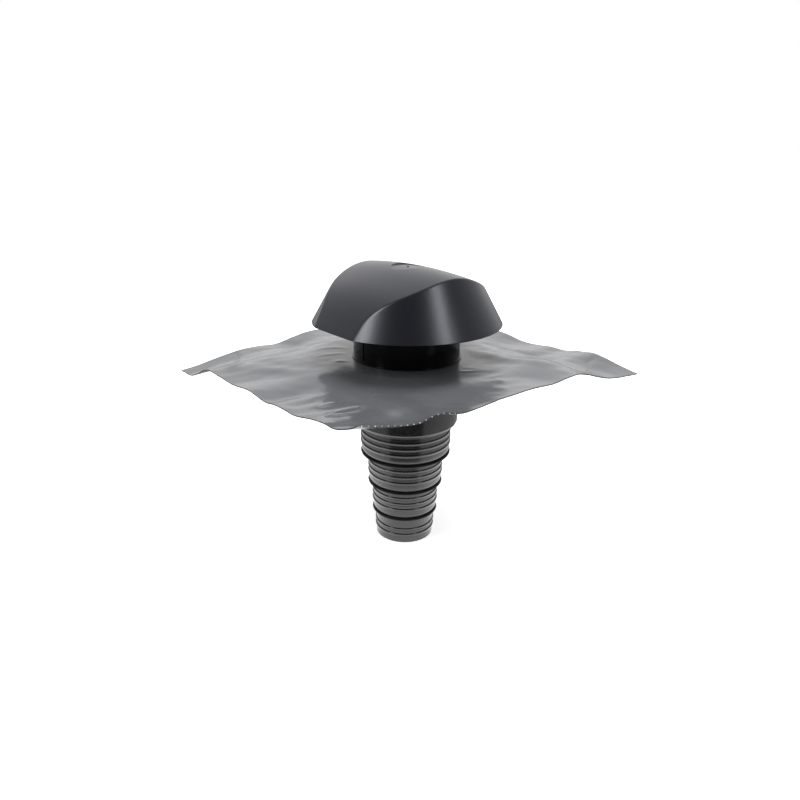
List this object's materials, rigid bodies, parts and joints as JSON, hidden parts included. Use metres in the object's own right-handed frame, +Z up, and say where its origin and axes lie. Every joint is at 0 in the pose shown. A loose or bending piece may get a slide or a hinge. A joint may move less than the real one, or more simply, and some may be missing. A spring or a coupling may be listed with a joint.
{
  "type": "roof vent cap",
  "caption": "Arched roof vent hood on a slotted neck, with a soft square flashing and a stepped duct tail with ribs and sealing rings.",
  "frame": {"origin": "centre of the tail's open end, where a duct meets it", "axes": "+Z up along the duct's axis towards the hood; X along the hood's arch and one side of the flashing"},
  "size_m": [0.513, 0.512, 0.456],
  "materials": {
    "hood_plastic": "anthracite, fine satin",
    "neck_plastic": "black, glossy",
    "flashing_sheet": "mid grey, soft, satin to glossy",
    "tail_plastic": "dark grey, semi-gloss",
    "ring_rubber": "black"
  },
  "bodies": {
    "root": {"hood": "hood_plastic", "neck": "neck_plastic", "bird_guard": "neck_plastic", "flashing": "flashing_sheet", "base_tube": "tail_plastic", "reducer": "tail_plastic", "oring_110": "ring_rubber", "oring_125": "ring_rubber", "oring_150": "ring_rubber"}
  },
  "joints": []
}
